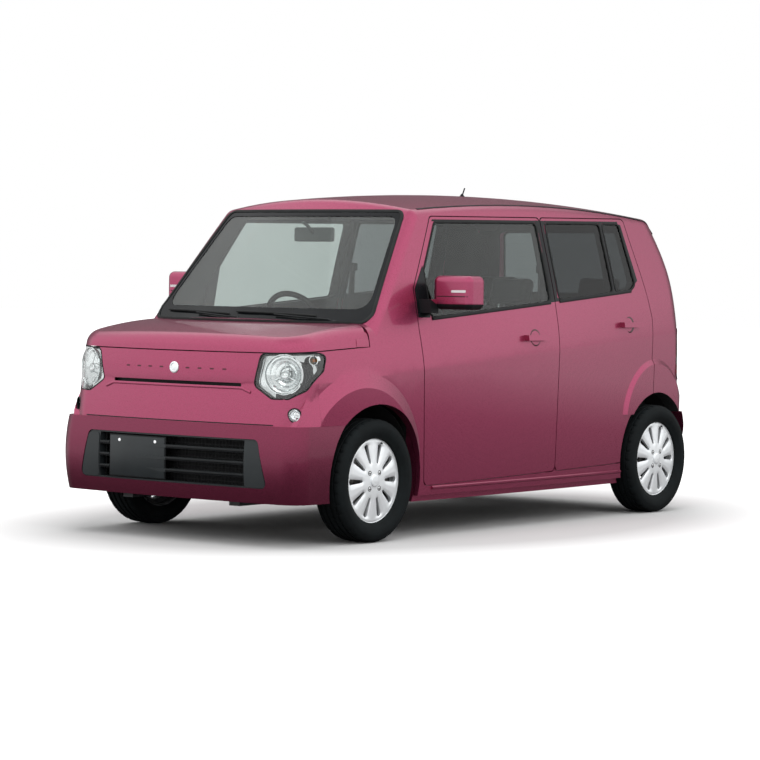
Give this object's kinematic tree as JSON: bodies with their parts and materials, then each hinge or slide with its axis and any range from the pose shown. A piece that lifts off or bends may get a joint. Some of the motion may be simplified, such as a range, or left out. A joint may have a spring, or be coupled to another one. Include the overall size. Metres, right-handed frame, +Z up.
{
  "type": "kei car",
  "caption": "Small tall-cabin passenger car with a short bonnet, side doors, a tailgate, round-cornered lamps and turning, steered road wheels.",
  "frame": {"origin": "on the ground under the middle of the car", "axes": "-Y to the front, +X to the car's own left side, +Z up"},
  "size_m": [1.86, 3.4029, 1.6695],
  "materials": {
    "body_paint": "metallic gloss",
    "tinted_glass": "tinted",
    "clear_glass": "clear",
    "dark_trim": "matte",
    "lamp_lens": "clear",
    "reflector": "polished",
    "red_lens": "gloss",
    "underbody": "satin",
    "liner": "matte",
    "engine_metal": "cast",
    "black_steel": "satin",
    "bare_steel": "dull",
    "cabin_plastic": "grained",
    "seat_cloth": "woven",
    "knuckle_iron": "cast",
    "silver_wheel": "silver paint",
    "tyre_rubber": "matte"
  },
  "bodies": {
    "body": {"antenna": "dark_trim", "cowl": "dark_trim", "dashboard": "cabin_plastic", "engine_block": "engine_metal", "exhaust": "bare_steel", "firewall": "underbody", "floor_pan": "underbody", "fog_lamps": "lamp_lens", "front_bumper": "body_paint", "front_cradle": "underbody", "front_fenders": "body_paint", "front_grille": "dark_trim", "front_seats": "seat_cloth", "front_struts": "black_steel", "front_wheel_housings": "liner", "fuel_tank": "liner", "headlamp_housings": "reflector", "headlamp_lenses": "lamp_lens", "rack_housing": "engine_metal", "radiator": "engine_metal", "rear_axle": "black_steel", "rear_bumper": "body_paint", "rear_dampers": "black_steel", "rear_seat": "seat_cloth", "rear_springs": "black_steel", "rear_wheel_housings": "liner", "roof_panel": "body_paint", "side_body_left": "body_paint", "side_body_right": "body_paint", "tail_lamps": "red_lens", "windscreen": "clear_glass"},
    "front_door_left": {"front_door_left": "body_paint", "front_door_glass_left": "clear_glass", "mirror_left": "body_paint"},
    "front_door_right": {"front_door_right": "body_paint", "front_door_glass_right": "clear_glass", "mirror_right": "body_paint"},
    "rear_door_left": {"rear_door_left": "body_paint", "rear_door_glass_left": "tinted_glass"},
    "rear_door_right": {"rear_door_right": "body_paint", "rear_door_glass_right": "tinted_glass"},
    "tailgate": {"tailgate": "body_paint", "tailgate_glass": "tinted_glass"},
    "bonnet": {"bonnet": "body_paint"},
    "steering_wheel": {"steering_wheel": "dark_trim"},
    "steering_rack": {"steering_rack": "black_steel"},
    "knuckle_left": {"knuckle_left": "knuckle_iron"},
    "knuckle_right": {"knuckle_right": "knuckle_iron"},
    "wheel_front_left": {"wheel_front_left": "silver_wheel", "tyre_front_left": "tyre_rubber"},
    "wheel_front_right": {"wheel_front_right": "silver_wheel", "tyre_front_right": "tyre_rubber"},
    "wheel_rear_left": {"wheel_rear_left": "silver_wheel", "tyre_rear_left": "tyre_rubber"},
    "wheel_rear_right": {"wheel_rear_right": "silver_wheel", "tyre_rear_right": "tyre_rubber"}
  },
  "joints": [
    {"name": "front_door_left_hinge", "type": "hinge", "parent": "body", "child": "front_door_left", "pos_m": [0.731, -0.758, 0.6], "axis": [0, 0, -1], "range_deg": [0, 65]},
    {"name": "rear_door_left_hinge", "type": "hinge", "parent": "body", "child": "rear_door_left", "pos_m": [0.731, 0.367, 0.6], "axis": [0, 0, -1], "range_deg": [0, 70]},
    {"name": "front_door_right_hinge", "type": "hinge", "parent": "body", "child": "front_door_right", "pos_m": [-0.731, -0.758, 0.6], "axis": [0, 0, 1], "range_deg": [0, 65]},
    {"name": "rear_door_right_hinge", "type": "hinge", "parent": "body", "child": "rear_door_right", "pos_m": [-0.731, 0.367, 0.6], "axis": [0, 0, 1], "range_deg": [0, 70]},
    {"name": "tailgate_hinge", "type": "hinge", "parent": "body", "child": "tailgate", "pos_m": [0, 1.538, 1.567], "axis": [1, 0, 0], "range_deg": [0, 80]},
    {"name": "bonnet_hinge", "type": "hinge", "parent": "body", "child": "bonnet", "pos_m": [0, -1.09, 0.96], "axis": [-1, 0, 0], "range_deg": [0, 50]},
    {"name": "steering_wheel_turn", "type": "hinge", "parent": "body", "child": "steering_wheel", "pos_m": [-0.345, -0.375, 0.955], "axis": [0, 0.8988, 0.4384], "range_deg": [-570, 570]},
    {"name": "rack_slide", "type": "slide", "parent": "body", "child": "steering_rack", "axis": [1, 0, 0], "range_m": [-0.067, 0.067]},
    {"name": "steer_left", "type": "hinge", "parent": "body", "child": "knuckle_left", "pos_m": [0.585, -1.0925, 0.281], "axis": [0, 0, 1], "range_deg": [-34, 34]},
    {"name": "wheel_front_left_spin", "type": "hinge", "parent": "knuckle_left", "child": "wheel_front_left", "pos_m": [0.645, -1.0925, 0.281], "axis": [1, 0, 0], "continuous": true},
    {"name": "wheel_rear_left_spin", "type": "hinge", "parent": "body", "child": "wheel_rear_left", "pos_m": [0.645, 1.3325, 0.281], "axis": [1, 0, 0], "continuous": true},
    {"name": "steer_right", "type": "hinge", "parent": "body", "child": "knuckle_right", "pos_m": [-0.585, -1.0925, 0.281], "axis": [0, 0, 1], "range_deg": [-34, 34]},
    {"name": "wheel_front_right_spin", "type": "hinge", "parent": "knuckle_right", "child": "wheel_front_right", "pos_m": [-0.645, -1.0925, 0.281], "axis": [1, 0, 0], "continuous": true},
    {"name": "wheel_rear_right_spin", "type": "hinge", "parent": "body", "child": "wheel_rear_right", "pos_m": [-0.645, 1.3325, 0.281], "axis": [1, 0, 0], "continuous": true}
  ],
  "couplings": [
    {"joint": "steer_left", "follows": "steering_wheel_turn", "ratio": 0.0588},
    {"joint": "steer_right", "follows": "steering_wheel_turn", "ratio": 0.0588},
    {"joint": "rack_slide", "follows": "steering_wheel_turn", "m_per_rad": -0.0065}
  ]
}
